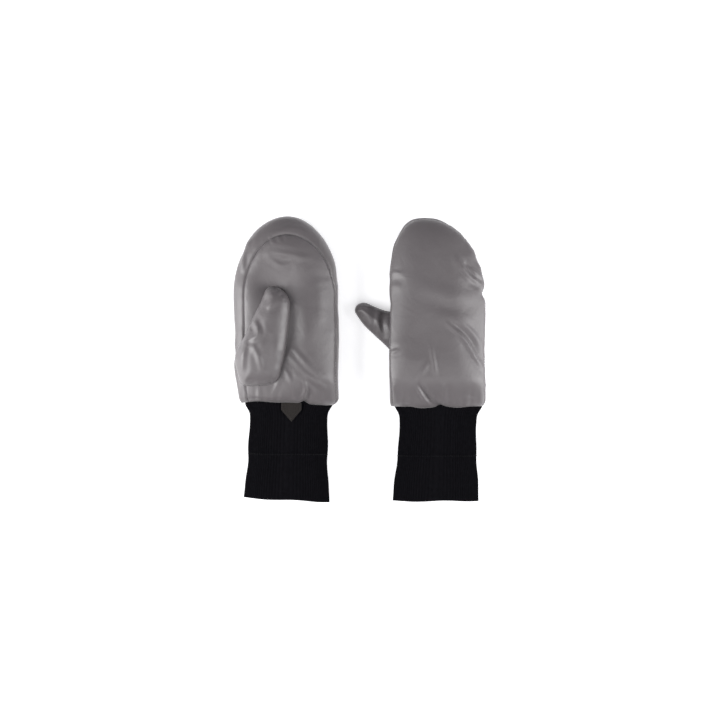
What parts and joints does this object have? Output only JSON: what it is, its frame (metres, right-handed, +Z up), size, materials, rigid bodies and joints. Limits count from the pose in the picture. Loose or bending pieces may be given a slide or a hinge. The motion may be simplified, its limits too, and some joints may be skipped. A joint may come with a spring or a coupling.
{
  "type": "winter mitten pair",
  "caption": "Pair of padded winter mittens in satin-coated fabric with boxed sides, set-in thumbs and long fine-knit cuffs, laid flat, one palm up and one back up",
  "frame": {"origin": "centre of the pair's bounding box, on the table that both mittens lie on", "axes": "+X from the left mitten to the right one, +Y to the fingertips, +Z up from the table"},
  "size_m": [0.288, 0.3295, 0.0585],
  "materials": {
    "shell_fabric": "satin coated nylon, padded",
    "wadding": "lofted polyester wadding",
    "lining": "brushed fleece",
    "seam_thread": "matt polyester thread",
    "tab_thread": "matt polyester thread",
    "elastic": "woven elastic",
    "wrist_tape": "woven tape",
    "cuff_knit": "fine black rib knit",
    "cuff_thread": "matt polyester thread",
    "tab_leather": "brushed suede",
    "label": "satin ribbon, blank"
  },
  "bodies": {
    "left_hand": {"left_back_shell": "shell_fabric", "left_side_gusset": "shell_fabric", "left_palm_shell": "shell_fabric", "left_back_wadding": "wadding", "left_side_wadding": "wadding", "left_palm_wadding": "wadding", "left_back_lining": "lining", "left_palm_lining": "lining", "left_palm_seam_thread": "seam_thread", "left_back_seam_thread": "seam_thread", "left_wrist_elastic": "elastic", "left_wrist_tape": "wrist_tape"},
    "left_thumb": {"left_thumb_outer_shell": "shell_fabric", "left_thumb_inner_shell": "shell_fabric", "left_thumb_wadding": "wadding", "left_thumb_lining": "lining", "left_thumb_seam_thread": "seam_thread"},
    "left_cuff": {"left_cuff_knit": "cuff_knit", "left_cuff_facing": "cuff_knit", "left_cuff_stitch_line": "cuff_thread", "left_cuff_tab": "tab_leather", "left_tab_stitching": "tab_thread", "left_care_label": "label"},
    "right_hand": {"right_back_shell": "shell_fabric", "right_side_gusset": "shell_fabric", "right_palm_shell": "shell_fabric", "right_back_wadding": "wadding", "right_side_wadding": "wadding", "right_palm_wadding": "wadding", "right_back_lining": "lining", "right_palm_lining": "lining", "right_palm_seam_thread": "seam_thread", "right_back_seam_thread": "seam_thread", "right_wrist_elastic": "elastic", "right_wrist_tape": "wrist_tape"},
    "right_thumb": {"right_thumb_outer_shell": "shell_fabric", "right_thumb_inner_shell": "shell_fabric", "right_thumb_wadding": "wadding", "right_thumb_lining": "lining", "right_thumb_seam_thread": "seam_thread"},
    "right_cuff": {"right_cuff_knit": "cuff_knit", "right_cuff_facing": "cuff_knit", "right_cuff_stitch_line": "cuff_thread", "right_cuff_tab": "tab_leather", "right_tab_stitching": "tab_thread", "right_care_label": "label"}
  },
  "joints": [
    {"name": "right_mitten_lift", "type": "slide", "parent": "left_hand", "child": "right_hand", "axis": [0, 0, 1], "range_m": [0, 0.12]},
    {"name": "left_thumb_lift", "type": "hinge", "parent": "left_hand", "child": "left_thumb", "pos_m": [-0.11285, -0.0169, 0.0485], "axis": [0.9936, -0.1132, 0], "range_deg": [0, 60]},
    {"name": "left_wrist_bend", "type": "hinge", "parent": "left_hand", "child": "left_cuff", "pos_m": [-0.08185, -0.0599, 0.0154], "axis": [-1, 0, 0], "range_deg": [0, 45]},
    {"name": "right_thumb_swing", "type": "hinge", "parent": "right_hand", "child": "right_thumb", "pos_m": [0.05925, -0.0161, 0.01], "axis": [0, 0, 1], "range_deg": [0, 15]},
    {"name": "right_wrist_bend", "type": "hinge", "parent": "right_hand", "child": "right_cuff", "pos_m": [0.09025, -0.0621, 0.0154], "axis": [-1, 0, 0], "range_deg": [0, 45]}
  ]
}
